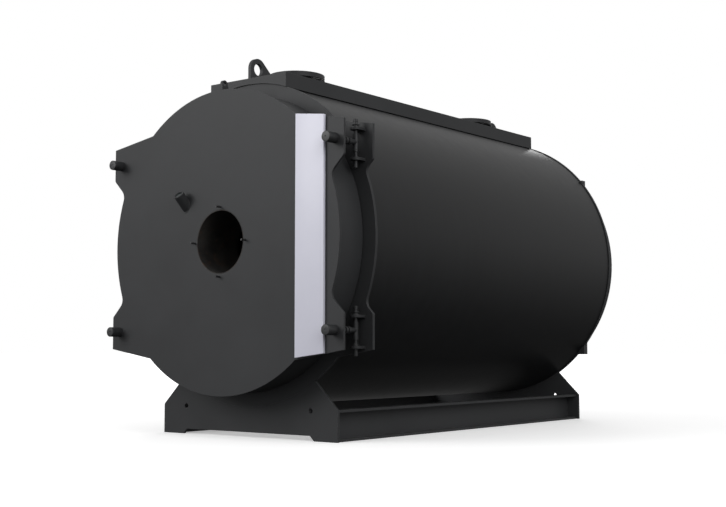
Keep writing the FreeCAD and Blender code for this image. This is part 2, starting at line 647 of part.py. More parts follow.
def pin(side, level):
    """An upright pin with a knob and two rings over the upper lug, and collars under the
    eyebolt's tube and over the lower lug.

    A hinge pin stands on the lugs, and a closing pin hangs on its eyebolt.
    """
    x, z = bolt_place(side, level)
    lug_play = 0.0 if side == RIGHT else PIN_END_GAP
    tube_play = PIN_END_GAP - lug_play
    rings = UPPER_LUG_OFFSET + LUG_THICKNESS / 2 + lug_play
    under_tube = -EYE_TUBE_LENGTH / 2 - tube_play
    over_lug = LOWER_LUG_OFFSET + LUG_THICKNESS / 2 + lug_play
    lengths = (
        (0.0, PIN_BOTTOM, PIN_TOP),
        (PIN_KNOB_STEP, PIN_TOP - PIN_KNOB_LENGTH, PIN_TOP),
        (PIN_RING_STEP, rings, rings + PIN_RING_LENGTH),
        (PIN_RING_STEP, rings + PIN_RING_LENGTH * 2, rings + PIN_RING_LENGTH * 3),
        (PIN_COLLAR_STEP, under_tube - PIN_COLLAR_LENGTH, under_tube),
        (PIN_COLLAR_STEP, over_lug, over_lug + PIN_COLLAR_LENGTH),
    )
    return joined([cylinder_z(PIN_RADIUS + step, z + low, z + high, x, PIN_DEPTH)
                   for step, low, high in lengths])


def lug_pair(side, level):
    """Two level lugs on the flange; those of the closing side are open to the front."""
    x, z = bolt_place(side, level)
    radius = PIN_RADIUS + LUG_STEP
    pair = []
    for offset in (UPPER_LUG_OFFSET, LOWER_LUG_OFFSET):
        low = z + offset - LUG_THICKNESS / 2
        high = z + offset + LUG_THICKNESS / 2
        nose = cylinder_z(radius, low, high, x, PIN_DEPTH)
        lug = joined([nose, block(x - radius, x + radius, PIN_DEPTH, FLANGE_FACE, low, high)])
        hole_radius = PIN_RADIUS
        if side == LEFT:
            hole_radius = PIN_RADIUS + SLOT_CLEARANCE
            lug = lug.cut(block(x - hole_radius, x + hole_radius, PIN_DEPTH - radius, PIN_DEPTH,
                                low, high))
        pair.append(lug.cut(cylinder_z(hole_radius, low, high, x, PIN_DEPTH)))
    return pair


def lugs(side):
    return Part.makeCompound(lug_pair(side, UPPER) + lug_pair(side, LOWER))


# ---- all pieces -----------------------------------------------------------------------------
def pieces():
    nodes = {
        "front_flange": front_flange(),
        "rear_flange": rear_flange(),
        "front_saddle": saddle(FLANGE_FACE),
        "rear_saddle": saddle(REAR_FLANGE_FACE),
        "right_skid_channel": skid_channel(RIGHT),
        "left_skid_channel": skid_channel(LEFT),
        "pressure_shell": pressure_shell(),
        "front_tube_plate": tube_plate(TUBE_PLATE_FACE, True),
        "rear_tube_plate": tube_plate(REAR_TUBE_PLATE_BACK - TUBE_PLATE_THICKNESS, False),
        "smoke_tubes": smoke_tubes(),
        "furnace_tube": furnace_tube(),
        "furnace_end": furnace_end(),
        "smoke_box_cover": smoke_box_cover(),
        "cover_clamps": cover_clamps(),
        "flue_outlet": flue_outlet(),
        "top_duct": top_duct(),
        "flow_nozzle": nozzle(FLOW_Y),
        "return_nozzle": nozzle(RETURN_Y),
        "front_lifting_eye": lifting_eye(FLANGE_FACE, 1),
        "rear_lifting_eye": lifting_eye(BODY_BACK, -1),
        "door_plate": door_plate(),
        "door_rim": door_rim(),
        "door_lining": door_lining(),
        "burner_throat": burner_throat(),
        "door_gasket": door_gasket(),
        "door_panel": door_panel(),
        "door_lifting_eye": door_lifting_eye(),
        "sight_tube": sight_tube(),
        "sight_glass": sight_glass(),
        "burner_studs": burner_studs(),
        "lock_nuts": lock_nuts(),
        "hinge_lugs": lugs(RIGHT),
        "closing_lugs": lugs(LEFT),
    }
    for level, level_name in ((UPPER, "upper"), (LOWER, "lower")):
        for side, side_name in ((RIGHT, "hinge"), (LEFT, "closing")):
            name = level_name + "_" + side_name
            nodes[name + "_eyebolt"] = eyebolt(side, level)
            nodes[name + "_clamp_nut"] = clamp_nut(side, level)
            nodes[name + "_pin"] = pin(side, level)
        for side, side_name in ((RIGHT, "right"), (LEFT, "left")):
            nodes["jacket_" + level_name + "_" + side_name] = jacket_panel(side, level)
    return nodes


def main():
    os.makedirs("parts", exist_ok=True)
    for name, shape in pieces().items():
        shape.translate(TO_ORIGIN)
        shape.exportStep(os.path.join("parts", name + ".step"))
        print(name, len(shape.Solids), shape.isValid(), round(shape.Volume / 1e6, 3), "l")


main()
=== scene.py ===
import json
import math

import bpy
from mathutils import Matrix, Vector


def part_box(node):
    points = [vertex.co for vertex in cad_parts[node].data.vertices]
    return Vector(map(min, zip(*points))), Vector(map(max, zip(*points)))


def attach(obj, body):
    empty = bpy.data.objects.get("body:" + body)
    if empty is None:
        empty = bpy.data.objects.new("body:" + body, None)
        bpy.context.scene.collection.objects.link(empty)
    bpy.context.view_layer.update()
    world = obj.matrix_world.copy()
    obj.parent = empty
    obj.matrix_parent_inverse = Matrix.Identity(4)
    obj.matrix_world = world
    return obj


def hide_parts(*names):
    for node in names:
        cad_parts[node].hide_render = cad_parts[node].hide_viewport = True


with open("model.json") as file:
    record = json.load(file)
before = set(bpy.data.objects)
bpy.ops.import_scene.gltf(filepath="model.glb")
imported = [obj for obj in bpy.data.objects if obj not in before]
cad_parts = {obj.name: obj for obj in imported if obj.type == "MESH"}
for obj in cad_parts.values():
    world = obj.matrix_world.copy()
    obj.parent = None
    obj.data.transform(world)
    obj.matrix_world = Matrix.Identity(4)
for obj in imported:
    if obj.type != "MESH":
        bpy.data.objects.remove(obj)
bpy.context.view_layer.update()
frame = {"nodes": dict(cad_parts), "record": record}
nodes = frame["nodes"]
bpy.ops.object.select_all(action="DESELECT")

# ---- places, in metres, from the frame -------------------------------------------------------
MM = 0.001
JACKET_LOW, JACKET_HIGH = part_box("jacket_lower_right")
COVER_LOW, COVER_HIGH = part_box("smoke_box_cover")
PLATE_LOW, PLATE_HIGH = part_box("front_tube_plate")
FURNACE_LOW, FURNACE_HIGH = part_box("furnace_tube")
SIGHT_LOW, SIGHT_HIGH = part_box("sight_tube")
FLUE_LOW, FLUE_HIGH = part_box("flue_outlet")
AXIS_Z = (COVER_LOW.z + COVER_HIGH.z) / 2
FACE_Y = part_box("door_plate")[0].y
DUCT_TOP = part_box("top_duct")[1].z
FACING_FRONT = (math.pi / 2, 0, 0)      # turns what stands upright to lie along Y

# ---- sizes that no box gives ---------------------------------------------------------------------
BOLT_LEVEL = 351 * MM                   # bolts' height above and below the axis
LUG_LEVELS = (52 * MM, -63 * MM)        # lugs' height from their bolt
LUG_HALF_WIDTH = 21 * MM
LUG_HALF_THICKNESS = 6 * MM
SIGHT_LEVEL = 159 * MM
TUBE_RINGS = ((0.31, 20), (0.585, 26))  # share of the way from furnace to shell, tubes in it
TUBE_END_RADIUS = 26.6 * MM
CLAMP_BOLT_LEVELS = (402 * MM, -416 * MM)
CLAMP_BOLT_INSET = 30 * MM
CLAMP_BOLT_ACROSS = 18 * MM
# radius and height above the duct of each ring, in millimetres
COLLAR_RINGS = ((70.4, 7.0), (71.2, 4.0), (73.5, 1.6), (78.0, 0.5), (90.0, 0.3))


# ---- shader maths ------------------------------------------------------------------------------
class Value:
    """A number that varies over a surface; operators on it add Math nodes."""

    def __init__(self, graph, socket):
        self.graph = graph
        self.socket = socket

    def maths(self, operation, *terms, clamp=False):
        settings = {"operation": operation, "use_clamp": clamp}
        inputs = {i: term for i, term in enumerate(terms)}
        return self.graph.node("ShaderNodeMath", settings, inputs).value()

    def __add__(self, other):
        return self.maths("ADD", self, other)

    __radd__ = __add__

    def __sub__(self, other):
        return self.maths("SUBTRACT", self, other)

    def __rsub__(self, other):
        return self.maths("SUBTRACT", other, self)

    def __mul__(self, other):
        return self.maths("MULTIPLY", self, other)

    __rmul__ = __mul__

    def power(self, exponent):
        return self.maths("POWER", self, exponent)

    def sine(self):
        return self.maths("SINE", self)

    def angle_to(self, other):
        return self.maths("ARCTAN2", self, other)

    def between(self, low, high):
        """0 below low, 1 above high, and a straight rise between them."""
        return self.maths("MULTIPLY", self - low, 1.0 / (high - low), clamp=True)


class Built:
    """A node just made, with its outputs by name."""

    def __init__(self, graph, node):
        self.graph = graph
        self.node = node

    def out(self, name=0):
        return self.node.outputs[name]

    def value(self, name=0):
        return Value(self.graph, self.out(name))


class Graph:
    """A node tree, with one method that makes its nodes."""

    def __init__(self, tree):
        self.tree = tree

    def node(self, kind, settings=None, inputs=None):
        made = self.tree.nodes.new(kind)
        for key, setting in (settings or {}).items():
            if key == "stops":
                ramp = made.color_ramp
                for i, (position, colour) in enumerate(setting):
                    stop = ramp.elements[i] if i < 2 else ramp.elements.new(position)
                    stop.position = position
                    stop.color = colour
            else:
                setattr(made, key, setting)
        for key, value in (inputs or {}).items():
            self.feed(made.inputs[key], value)
        return Built(self, made)

    def feed(self, socket, value):
        if isinstance(value, Value):
            value = value.socket
        if isinstance(value, bpy.types.NodeSocket):
            self.tree.links.new(value, socket)
        else:
            socket.default_value = value


class Finish(Graph):
    """One material, built from nodes round its Principled shader."""

    def __init__(self, name):
        self.material = bpy.data.materials.new(name)
        self.material.use_nodes = True
        super().__init__(self.material.node_tree)
        self.shader = self.tree.nodes["Principled BSDF"]
        self.place = self.node("ShaderNodeTexCoord").out("Object")

    def set(self, **inputs):
        for key, value in inputs.items():
            self.feed(self.shader.inputs[key.replace("_", " ")], value)

    def fixed(self, name, value):
        """Sets one of the shader's own sockets."""
        self.shader.inputs[name].default_value = value

    def noise(self, scale, detail=4.0, roughness=0.55, stretch=(1, 1, 1)):
        inputs = {"Vector": self.place, "Scale": stretch}
        where = self.node("ShaderNodeMapping", None, inputs).out()
        inputs = {"Vector": where, "Scale": scale, "Detail": detail, "Roughness": roughness}
        return self.node("ShaderNodeTexNoise", None, inputs).value("Fac")

    def cells(self, scale, feature="F1"):
        inputs = {"Vector": self.place, "Scale": scale}
        return self.node("ShaderNodeTexVoronoi", {"feature": feature}, inputs).value("Distance")

    def axes(self):
        split = self.node("ShaderNodeSeparateXYZ", None, {0: self.place})
        return split.value("X"), split.value("Y"), split.value("Z")

    def mix(self, share, first, second):
        """The first colour where share is 0 and the second where it is 1."""
        settings = {"data_type": "RGBA"}
        inputs = {0: share, 6: first, 7: second}
        return self.node("ShaderNodeMix", settings, inputs).out(2)

    def bump(self, height, distance, strength=1.0, over=None):
        inputs = {"Strength": strength, "Distance": distance, "Height": height}
        if over is not None:
            inputs["Normal"] = over
        return self.node("ShaderNodeBump", None, inputs).out()

    def rounded(self, radius):
        """The normal of edges rounded by that radius, and how near an edge a point is."""
        soft = self.node("ShaderNodeBevel", {"samples": 6}, {"Radius": radius}).out()
        true = self.node("ShaderNodeNewGeometry").out("Normal")
        inputs = {0: soft, 1: true}
        along = self.node("ShaderNodeVectorMath", {"operation": "DOT_PRODUCT"}, inputs)
        return soft, (1.0 - along.value("Value")).between(0.02, 0.22)

    def facing_up(self):
        normal = self.node("ShaderNodeTexCoord").out("Normal")
        up = self.node("ShaderNodeSeparateXYZ", None, {0: normal}).value("Z")
        return up.between(0.75, 1.0)


def tinted(colour, factor):
    return tuple(min(1.0, c * factor) for c in colour) + (1.0,)


# ---- finishes ----------------------------------------------------------------------------------
THREAD_PITCH = 1.25 * MM
STRAND_WIDTH = 9 * MM
STRANDS_ROUND = 420                     # rope strands per radian round the ring
BLACK_PAINT = (0.0448, 0.0460, 0.0482)
JACKET_BLACK = (0.0078, 0.0082, 0.0090)
SETTLED_DUST = (0.34, 0.33, 0.31, 1.0)
RUBBED_PAINT = (0.36, 0.36, 0.37, 1.0)
BARE_STEEL = (0.30, 0.30, 0.30, 1.0)
SOOT = (0.035, 0.031, 0.029, 1.0)


def satin_paint():
    """Stoved paint: a fine orange-peel skin, faint clouds, dust on top, thin wear on edges."""
    finish = Finish("satin_black_paint")
    cloud = finish.noise(3.2, 5.0)
    fleck = finish.noise(260.0, 3.0, 0.6)
    soft, edge = finish.rounded(1.6 * MM)
    tone = finish.mix(cloud.between(0.32, 0.68), tinted(BLACK_PAINT, 0.90),
                      tinted(BLACK_PAINT, 1.10))
    tone = finish.mix(fleck.between(0.55, 0.80) * 0.35, tone, tinted(BLACK_PAINT, 1.45))
    settled = finish.facing_up() * finish.noise(14.0, 6.0).between(0.35, 0.75) * 0.10
    tone = finish.mix(settled, tone, SETTLED_DUST)
    scuffs = finish.noise(34.0, 6.0, 0.7).between(0.38, 0.66)
    tone = finish.mix(edge * scuffs * 0.55, tone, RUBBED_PAINT)
    peel = finish.noise(520.0, 2.0, 0.5) + finish.noise(150.0, 2.0, 0.5) * 0.5
    normal = finish.bump(peel, 0.05 * MM, over=soft)
    roughness = cloud * 0.10 + fleck * 0.06 + settled * 0.8 + 0.40
    finish.set(Base_Color=tone, Roughness=roughness, Normal=normal)
    finish.fixed("Specular IOR Level", 0.24)
    return finish.material


def jacket_paint():
    """Smooth black sheet: long shallow waves from rolling, fine streaks down its sides."""
    finish = Finish("black_jacket_sheet")
    wave = finish.noise(1.6, 2.0, 0.4, (1.0, 0.55, 1.0))
    streak = finish.noise(26.0, 5.0, 0.6, (1.0, 1.0, 0.08))
    fleck = finish.noise(420.0, 2.0, 0.5)
    tone = finish.mix(streak.between(0.35, 0.75), tinted(JACKET_BLACK, 0.85),
                      tinted(JACKET_BLACK, 1.35))
    roughness = streak * 0.09 + fleck * 0.04 + 0.30
    skin = finish.bump(fleck, 0.03 * MM, over=finish.bump(wave, 2.5 * MM, 0.5))
    finish.set(Base_Color=tone, Roughness=roughness, Normal=skin)
    finish.fixed("Specular IOR Level", 0.33)
    return finish.material


def panel_paint():
    """Bare pale plate, smooth, with its edges painted a little darker and bluer as painted shade.
    """
    finish = Finish("pale_door_panel")
    cloud = finish.noise(5.0, 4.0)
    soft, edge = finish.rounded(1.2 * MM)
    tone = finish.mix(cloud.between(0.3, 0.7), (0.820, 0.820, 0.935, 1.0),
                      (0.850, 0.850, 0.965, 1.0))
    # painted shade: the edges are painted darker and bluer, the way a shaded side face looks
    tone = finish.mix(edge * 0.5, tone, (0.54, 0.54, 0.67, 1.0))
    smear = finish.noise(9.0, 6.0, 0.65, (1.0, 1.0, 0.3)).between(0.52, 0.8)
    tone = finish.mix(smear * 0.10, tone, (0.57, 0.57, 0.61, 1.0))
    normal = finish.bump(finish.noise(380.0, 2.0), 0.04 * MM, over=soft)
    finish.set(Base_Color=tone, Roughness=cloud * 0.08 + smear * 0.08 + 0.34, Normal=normal)
    return finish.material


def hardware():
    """Turned and blackened steel: fine tool rings, worn a little on its edges."""
    finish = Finish("blackened_hardware")
    cloud = finish.noise(60.0, 5.0)
    soft, edge = finish.rounded(0.9 * MM)
    tone = finish.mix(cloud.between(0.3, 0.75), (0.030, 0.031, 0.033, 1.0),
                      (0.050, 0.051, 0.053, 1.0))
    tone = finish.mix(edge * cloud.between(0.35, 0.6) * 0.55, tone, BARE_STEEL)
    rings = finish.noise(3.0, 2.0, 0.5, (60.0, 900.0, 60.0))
    normal = finish.bump(rings, 0.04 * MM, over=soft)
    finish.set(Base_Color=tone, Roughness=cloud * 0.2 + 0.32, Normal=normal)
    finish.fixed("Metallic", 0.25)
    return finish.material


def threaded():
    """Blackened stud with its thread, which runs round the Y axis; in patches its crests are
    painted lighter and its grooves darker, as painted highlight and shade.
    """
    finish = Finish("threaded_stud")
    y = finish.axes()[1]
    thread = (y * (2 * math.pi / THREAD_PITCH)).sine() * 0.5 + 0.5
    cloud = finish.noise(90.0, 4.0)
    # painted highlight and shade: thread crests lighter and grooves darker, in cloudy patches
    tone = finish.mix(thread * cloud.between(0.3, 0.7), (0.020, 0.020, 0.021, 1.0),
                      (0.105, 0.105, 0.105, 1.0))
    finish.set(Base_Color=tone, Roughness=cloud * 0.2 + 0.35, Normal=finish.bump(thread, 0.6 * MM))
    finish.fixed("Metallic", 0.5)
    return finish.material


def fire_side():
    """Steel that flame and smoke have touched: soot over brown oxide."""
    finish = Finish("sooted_steel")
    soot = finish.noise(7.0, 7.0, 0.65)
    rust = finish.noise(24.0, 6.0, 0.7).between(0.52, 0.72)
    grit = finish.noise(700.0, 3.0)
    tone = finish.mix(soot.between(0.35, 0.65), (0.012, 0.011, 0.011, 1.0),
                      (0.050, 0.046, 0.042, 1.0))
    tone = finish.mix(rust * 0.45, tone, (0.095, 0.045, 0.022, 1.0))
    finish.set(Base_Color=tone, Roughness=soot * 0.2 + 0.62, Normal=finish.bump(grit, 0.25 * MM))
    finish.fixed("Metallic", 0.2)
    return finish.material


def refractory():
    """Cast lining: gritty buff, pores, hairline cracks, sooty towards the middle."""
    finish = Finish("cast_refractory")
    x, _, z = finish.axes()
    out = (x * x + (z - AXIS_Z) * (z - AXIS_Z)).power(0.5)
    grit = finish.noise(180.0, 6.0, 0.7)
    patch = finish.noise(8.0, 5.0)
    pores = 1.0 - finish.cells(120.0).between(0.05, 0.35)
    cracks = 1.0 - finish.cells(5.0, "DISTANCE_TO_EDGE").between(0.0, 0.007)
    cracks = cracks * patch.between(0.45, 0.60)
    tone = finish.mix(patch.between(0.3, 0.7), (0.36, 0.30, 0.22, 1.0), (0.52, 0.45, 0.35, 1.0))
    tone = finish.mix(grit.between(0.45, 0.8) * 0.5, tone, (0.58, 0.53, 0.45, 1.0))
    tone = finish.mix(pores * 0.6, tone, (0.16, 0.13, 0.10, 1.0))
    tone = finish.mix(cracks * 0.55, tone, (0.10, 0.085, 0.07, 1.0))
    soot = (1.0 - out.between(0.14, 0.50)) * patch.between(0.2, 0.7)
    tone = finish.mix(soot * 0.75, tone, SOOT)
    relief = grit * 0.5 - pores * 0.4 - cracks * 0.8
    finish.set(Base_Color=tone, Roughness=grit * 0.1 + 0.84, Normal=finish.bump(relief, 1.2 * MM))
    return finish.material


def rope():
    """Braided glass rope laid in a ring round the boiler's axis; its raised strands are painted
    lighter and the hollows between them darker, as painted shade.
    """
    finish = Finish("braided_rope")
    x, y, z = finish.axes()
    height = z - AXIS_Z
    round_turn = height.angle_to(x)
    out = (x * x + height * height).power(0.5)
    across = (out + y) * (math.pi / STRAND_WIDTH)
    left = (round_turn * STRANDS_ROUND + across).sine()
    right = (round_turn * STRANDS_ROUND - across).sine()
    braid = (left * right) * 0.5 + 0.5
    fluff = finish.noise(900.0, 4.0)
    # painted shade: the braid's hollows darker and its raised strands lighter
    tone = finish.mix(braid, (0.30, 0.28, 0.24, 1.0), (0.62, 0.60, 0.54, 1.0))
    soiled = finish.noise(16.0, 5.0).between(0.45, 0.75) * 0.6
    tone = finish.mix(soiled, tone, (0.10, 0.09, 0.08, 1.0))
    relief = braid + fluff * 0.25
    finish.set(Base_Color=tone, Roughness=fluff * 0.1 + 0.85, Normal=finish.bump(relief, 1.5 * MM))
    return finish.material


def peep_glass():
    """Thick dark sight glass with a film of soot behind it."""
    finish = Finish("sight_glass_pane")
    film = finish.noise(90.0, 5.0)
    tone = finish.mix(film.between(0.35, 0.7), (0.020, 0.026, 0.026, 1.0),
                      (0.075, 0.088, 0.086, 1.0))
    finish.set(Base_Color=tone, Roughness=film * 0.10 + 0.03)
    finish.fixed("Coat Weight", 1.0)
    return finish.material


def weld_metal():
    """Painted-over weld bead with its ripples showing; their hollows are painted darker as painted
    shade.
    """
    finish = Finish("painted_weld")
    ripple = finish.noise(170.0, 3.0, 0.6)
    # painted shade: the ripples' hollows darker and their crests lighter
    tone = finish.mix(ripple, (0.026, 0.027, 0.029, 1.0), (0.050, 0.051, 0.053, 1.0))
    finish.set(Base_Color=tone, Roughness=ripple * 0.2 + 0.36, Normal=finish.bump(ripple, 0.9 * MM))
    return finish.material


SLOT_FINISH = {
    "black_paint": satin_paint(),
    "black_jacket": jacket_paint(),
    "black_hardware": hardware(),
    "pale_paint": panel_paint(),
    "fire_side_steel": fire_side(),
    "refractory": refractory(),
    "rope_gasket": rope(),
    "sight_glass": peep_glass(),
}
THREAD = threaded()
WELD = weld_metal()


def give(piece, material):
    piece.data.materials.clear()
    piece.data.materials.append(material)


for part in frame["record"]["subparts"]:
    give(nodes[part["node"]], SLOT_FINISH[part["material_slot"]])
give(nodes["burner_studs"], THREAD)


# ---- modelling by hand -------------------------------------------------------------------------
def settle(name):
    """Leaves edit mode and puts the piece's place in its mesh."""
    if bpy.context.mode != "OBJECT":
        bpy.ops.object.mode_set(mode="OBJECT")
    piece = bpy.context.object
    piece.name = name
    bpy.ops.object.transform_apply(location=True, rotation=True, scale=True)
    return piece


def only(piece):
    bpy.ops.object.select_all(action="DESELECT")
    piece.select_set(True)
    bpy.context.view_layer.objects.active = piece


def pick(piece, wanted, kind="FACE"):
    """Selects in edit mode the faces, edges or corners whose middle is wanted."""
    bpy.ops.object.mode_set(mode="EDIT")
    bpy.ops.mesh.select_mode(type=kind)
    bpy.ops.mesh.select_all(action="DESELECT")
    bpy.ops.object.mode_set(mode="OBJECT")
    mesh = piece.data
    if kind == "FACE":
        for face in mesh.polygons:
            face.select = wanted(face.center, face.normal)
    elif kind == "EDGE":
        for edge in mesh.edges:
            a, b = (mesh.vertices[i].co for i in edge.vertices)
            edge.select = wanted(a, b)
    else:
        for corner in mesh.vertices:
            corner.select = wanted(corner.co)
    bpy.ops.object.mode_set(mode="EDIT")


def modified(piece, kind, **settings):
    only(piece)
    modifier = piece.modifiers.new(kind.title(), kind)
    for key, value in settings.items():
        setattr(modifier, key, value)
    bpy.ops.object.modifier_apply(modifier=modifier.name)


def closed(piece):
    """Doubles merged and every face turned outwards."""
    only(piece)
    bpy.ops.object.mode_set(mode="EDIT")
    bpy.ops.mesh.select_all(action="SELECT")
    bpy.ops.mesh.remove_doubles(threshold=0.00001)
    bpy.ops.mesh.normals_make_consistent(inside=False)
    bpy.ops.object.mode_set(mode="OBJECT")


def fitted(piece, body, slot, material=None, stands_for=()):
    """Smooths the piece, gives it its finish and lets it ride on its body."""
    only(piece)
    bpy.ops.object.shade_smooth_by_angle(angle=math.radians(32))
    give(piece, material or SLOT_FINISH[slot])
    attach(piece, body)
    if stands_for:
        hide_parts(*stands_for)
    bpy.ops.object.select_all(action="DESELECT")


def turned(name, steps, x, y, sides=40):
    """An upright turned piece; each step is its height and its radius there."""
    height, radius = steps[0]
    bpy.ops.mesh.primitive_circle_add(vertices=sides, radius=radius, fill_type="NGON",
                                      location=(x, y, height))
    bpy.ops.object.mode_set(mode="EDIT")
    bpy.ops.mesh.select_all(action="SELECT")
    for next_height, next_radius in steps[1:]:
        rise = next_height - height
        bpy.ops.mesh.extrude_region_move(TRANSFORM_OT_translate={"value": (0, 0, rise)})
        grow = next_radius / radius
        bpy.ops.transform.resize(value=(grow, grow, 1))
        height, radius = next_height, next_radius
    piece = settle(name)
    closed(piece)
    return piece


def copied(piece, name, shift):
    only(piece)
    bpy.ops.object.duplicate(linked=False)
    bpy.ops.transform.translate(value=shift)
    return settle(name)


# ---- round jacket ------------------------------------------------------------------------------
def jacket_half(side, side_name):
    """Half of the sheet jacket, open under the top duct, smooth all the way round."""
    radius = AXIS_Z - JACKET_LOW.z
    upper_low, upper_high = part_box("jacket_upper_" + side_name)
    edge = min(abs(upper_low.x), abs(upper_high.x))
    length = JACKET_HIGH.y - JACKET_LOW.y
    middle = (JACKET_HIGH.y + JACKET_LOW.y) / 2
    bpy.ops.mesh.primitive_cylinder_add(vertices=288, radius=radius, depth=length,
                                        end_fill_type="NOTHING", location=(0, middle, AXIS_Z),
                                        rotation=FACING_FRONT)
    piece = settle("jacket_" + side_name)
    bpy.ops.object.mode_set(mode="EDIT")
    bpy.ops.mesh.select_all(action="SELECT")
    bpy.ops.mesh.bisect(plane_co=(0, 0, 0), plane_no=(side, 0, 0), clear_inner=True)
    pick(piece, lambda centre, normal: centre.z > AXIS_Z)
    bpy.ops.mesh.bisect(plane_co=(side * edge, 0, 0), plane_no=(side, 0, 0), clear_inner=True)
    bpy.ops.object.mode_set(mode="OBJECT")
    closed(piece)
    outward = piece.data.polygons[0]
    if outward.normal.dot(outward.center - Vector((0, outward.center.y, AXIS_Z))) < 0:
        bpy.ops.object.mode_set(mode="EDIT")
        bpy.ops.mesh.select_all(action="SELECT")
        bpy.ops.mesh.flip_normals()
        bpy.ops.object.mode_set(mode="OBJECT")
    modified(piece, "SOLIDIFY", thickness=3 * MM, offset=-1)
    fitted(piece, "boiler", "black_jacket",
           stands_for=("jacket_upper_" + side_name, "jacket_lower_" + side_name))


jacket_half(1, "right")
jacket_half(-1, "left")


# ---- pale panel on the door --------------------------------------------------------------------
def door_panel():
    """A flat bar with sloping ends and softened edges."""
    low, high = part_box("door_panel")
    corners = [v.co for v in nodes["door_panel"].data.vertices]
    bpy.ops.mesh.primitive_cube_add(size=1, location=(low + high) / 2, scale=high - low)
    piece = settle("pale_panel")
    for x in (low.x, high.x):
        column = [c.z for c in corners if abs(c.x - x) < MM]
        for level, target in ((high.z, max(column)), (low.z, min(column))):
            pick(piece, lambda co: abs(co.x - x) < MM and abs(co.z - level) < MM, "VERT")
            bpy.ops.transform.translate(value=(0, 0, target - level))
            bpy.ops.object.mode_set(mode="OBJECT")
    modified(piece, "BEVEL", width=1.5 * MM, segments=3, limit_method="ANGLE")
    fitted(piece, "door", "pale_paint", stands_for=("door_panel",))


door_panel()


# ---- clamp nuts, pins and studs ----------------------------------------------------------------
def clamp_nut(node):
    """A round nut with a chamfered nose and a turned centre mark."""
    low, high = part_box(node)
    centre = (low + high) / 2
    radius = (high.x - low.x) / 2
    bpy.ops.mesh.primitive_cylinder_add(vertices=64, radius=radius, depth=high.y - low.y,
                                        location=centre, rotation=FACING_FRONT)
    piece = settle(node + "_turned")
    pick(piece, lambda a, b: a.y < low.y + MM and b.y < low.y + MM, "EDGE")
    bpy.ops.mesh.bevel(offset=1.8 * MM, segments=3, affect="EDGES")
    bpy.ops.object.mode_set(mode="OBJECT")
    pick(piece, lambda middle, normal: normal.y < -0.99)
    bpy.ops.mesh.inset(thickness=radius * 0.72)
    bpy.ops.mesh.extrude_region_move(TRANSFORM_OT_translate={"value": (0, 1.2 * MM, 0)})
    bpy.ops.transform.resize(value=(0.55, 1, 0.55))
    bpy.ops.object.mode_set(mode="OBJECT")
    closed(piece)
    fitted(piece, "door", "black_hardware", stands_for=(node,))


RING_OVER_ROD = 6.4 * MM
PIN_TOP_OVER_BOLT = 90 * MM
RINGS_OVER_BOLT = 57 * MM
COLLAR_UNDER_BOLT = 29 * MM
LUG_UNDER_BOLT = 58 * MM
PIN_GAP = 0.5 * MM                      # the closing pins swing clear of their lugs


def upright_pin(node, body):
    """A pin with a rounded head, two rings over the upper lug and two collars below."""
    low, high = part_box(node)
    x = (low.x + high.x) / 2
    y = (low.y + high.y) / 2
    wide = (high.x - low.x) / 2
    rod = wide - RING_OVER_ROD
    head = rod + 1.2 * MM
    collar = rod + 3.4 * MM
    bolt_z = high.z - PIN_TOP_OVER_BOLT
    lift = PIN_GAP if body == "door" else 0.0
    rings = bolt_z + RINGS_OVER_BOLT + lift
    under = bolt_z - COLLAR_UNDER_BOLT - (PIN_GAP - lift)
    lug = bolt_z - LUG_UNDER_BOLT + lift
    steps = [
        (low.z, rod * 0.72), (low.z + 2 * MM, rod), (lug, rod), (lug, collar),
        (lug + 6.2 * MM, collar), (lug + 7 * MM, collar - 0.8 * MM), (lug + 7 * MM, rod),
        (under - 7 * MM, rod), (under - 7 * MM, collar - 0.8 * MM), (under - 6.2 * MM, collar),
        (under, collar), (under, rod), (rings, rod), (rings, wide), (rings + 3.4 * MM, wide),
        (rings + 4 * MM, wide - 0.6 * MM), (rings + 4 * MM, rod), (rings + 8 * MM, rod),
        (rings + 8 * MM, wide - 0.6 * MM), (rings + 8.6 * MM, wide), (rings + 11.4 * MM, wide),
        (rings + 12 * MM, wide - 0.6 * MM), (rings + 12 * MM, rod), (high.z - 12 * MM, rod),
        (high.z - 12 * MM, head), (high.z - 2.5 * MM, head), (high.z - 0.8 * MM, head * 0.86),
        (high.z, head * 0.60),
    ]
    piece = turned(node + "_turned", steps, x, y)
    fitted(piece, body, "black_hardware", stands_for=(node,))


for level in ("upper", "lower"):
    for side, body in (("hinge", "boiler"), ("closing", "door")):
        bolt = level + "_" + side
        clamp_nut(bolt + "_clamp_nut")
        upright_pin(bolt + "_pin", body)


# ---- welds -------------------------------------------------------------------------------------
def ring_weld(name, body, centre, radius, size, stretch=1.0):
    """A rippled bead laid in an upright ring, which may be stretched upwards."""
    bpy.ops.mesh.primitive_torus_add(major_segments=72, minor_segments=10, major_radius=radius,
                                     minor_radius=size, location=centre, rotation=FACING_FRONT)
    bpy.ops.transform.resize(value=(1, 1, stretch))
    piece = settle(name)
    bpy.ops.object.mode_set(mode="EDIT")
    bpy.ops.mesh.select_all(action="SELECT")
    bpy.ops.transform.vertex_random(offset=size * 0.18, seed=3)
    bpy.ops.object.mode_set(mode="OBJECT")
    fitted(piece, body, "black_paint", WELD)
    return piece


def straight_weld(name, start, end, size):
    """A rippled bead along a straight joint, tapered at its ends."""
    run = Vector(end) - Vector(start)
    turn = run.to_track_quat("Z", "Y").to_euler()
    bpy.ops.mesh.primitive_cylinder_add(vertices=10, radius=size, depth=run.length,
                                        location=(Vector(start) + Vector(end)) / 2, rotation=turn)
    bpy.ops.object.mode_set(mode="EDIT")
    bpy.ops.mesh.select_all(action="SELECT")
    bpy.ops.mesh.subdivide(number_cuts=5)
    bpy.ops.transform.vertex_random(offset=size * 0.2, seed=5)
    return settle(name)


def joined_pieces(pieces, name):
    only(pieces[0])
    for piece in pieces:
        piece.select_set(True)
    bpy.ops.object.join()
    return settle(name)


